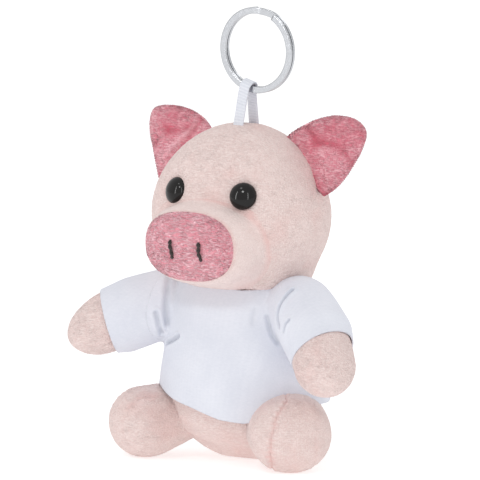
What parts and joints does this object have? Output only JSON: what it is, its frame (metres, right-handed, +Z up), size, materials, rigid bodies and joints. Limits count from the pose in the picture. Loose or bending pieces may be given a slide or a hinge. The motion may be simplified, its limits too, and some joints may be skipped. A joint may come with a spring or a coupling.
{
  "type": "plush pig key hanger",
  "caption": "Seated stuffed plush pig in a white jersey shirt, with yielding arms and ears, standing under a woven ribbon loop that carries a split ring.",
  "frame": {"origin": "on the floor, in the middle of the flat patch under the body, between the legs", "axes": "+Z up, -Y is the way the pig faces, +X is the pig's left"},
  "size_m": [0.0948, 0.0539, 0.1318],
  "materials": {
    "plush": "pale pink short-pile plush",
    "wadding": "white polyester filling, hidden",
    "snout": "dusky pink short-pile plush",
    "thread": "dark brown embroidery thread",
    "eye": "glossy black moulded plastic",
    "washer": "plain plastic lock washer, hidden",
    "jersey": "white cotton jersey",
    "ear": "rose pink crushed short-pile plush",
    "ribbon": "white woven ribbon",
    "ring": "bright nickel-plated flat wire"
  },
  "bodies": {
    "torso": {"head_cover": "plush", "head_filling": "wadding", "muzzle_band": "plush", "muzzle_filling": "wadding", "snout_disc": "snout", "nostril_left": "thread", "nostril_right": "thread", "eye_left": "eye", "eye_right": "eye", "eye_washer_left": "washer", "eye_washer_right": "washer", "body_cover": "plush", "body_filling": "wadding", "leg_left_cover": "plush", "leg_left_filling": "wadding", "leg_right_cover": "plush", "leg_right_filling": "wadding", "tail": "plush", "shirt": "jersey"},
    "arm_left": {"arm_left_cover": "plush", "arm_left_filling": "wadding", "sleeve_left": "jersey"},
    "arm_right": {"arm_right_cover": "plush", "arm_right_filling": "wadding", "sleeve_right": "jersey"},
    "ear_left": {"ear_left_front": "ear", "ear_left_back": "ear"},
    "ear_right": {"ear_right_front": "ear", "ear_right_back": "ear"},
    "ribbon": {"ribbon_legs": "ribbon"},
    "loop": {"ribbon_bight": "ribbon"},
    "ring": {"split_ring": "ring"}
  },
  "joints": [
    {"name": "arm_left_swing", "type": "hinge", "parent": "torso", "child": "arm_left", "pos_m": [0.02175, -0.00617, 0.04702], "axis": [0.5446, 0.8387, 0], "range_deg": [-25, 8], "stiffness_Nm_per_rad": 0.02, "deforming": ["sleeve_left"]},
    {"name": "arm_right_swing", "type": "hinge", "parent": "torso", "child": "arm_right", "pos_m": [-0.02175, -0.00617, 0.04702], "axis": [0.6225, -0.7826, 0], "range_deg": [-25, 8], "stiffness_Nm_per_rad": 0.02, "deforming": ["sleeve_right"]},
    {"name": "ear_left_fold", "type": "hinge", "parent": "torso", "child": "ear_left", "pos_m": [0.0196, 0.00286, 0.08497], "axis": [-0.7699, 0.1695, 0.6153], "range_deg": [-15, 15], "stiffness_Nm_per_rad": 0.004},
    {"name": "ear_right_fold", "type": "hinge", "parent": "torso", "child": "ear_right", "pos_m": [-0.0196, 0.00286, 0.08497], "axis": [0.7699, 0.1695, 0.6153], "range_deg": [-15, 15], "stiffness_Nm_per_rad": 0.004},
    {"name": "ribbon_bend", "type": "hinge", "parent": "torso", "child": "ribbon", "pos_m": [0, 0, 0.0979], "axis": [1, 0, 0], "range_deg": [-40, 40], "stiffness_Nm_per_rad": 0.01, "deforming": ["ribbon_legs"]},
    {"name": "ring_swing", "type": "hinge", "parent": "ribbon", "child": "loop", "pos_m": [0.0014, 0, 0.1082], "axis": [0.9613, 0, -0.2756], "range_deg": [-80, 80]},
    {"name": "ring_turn", "type": "hinge", "parent": "loop", "child": "ring", "pos_m": [0.00458, 0, 0.1193], "axis": [0, 1, 0], "continuous": true}
  ]
}
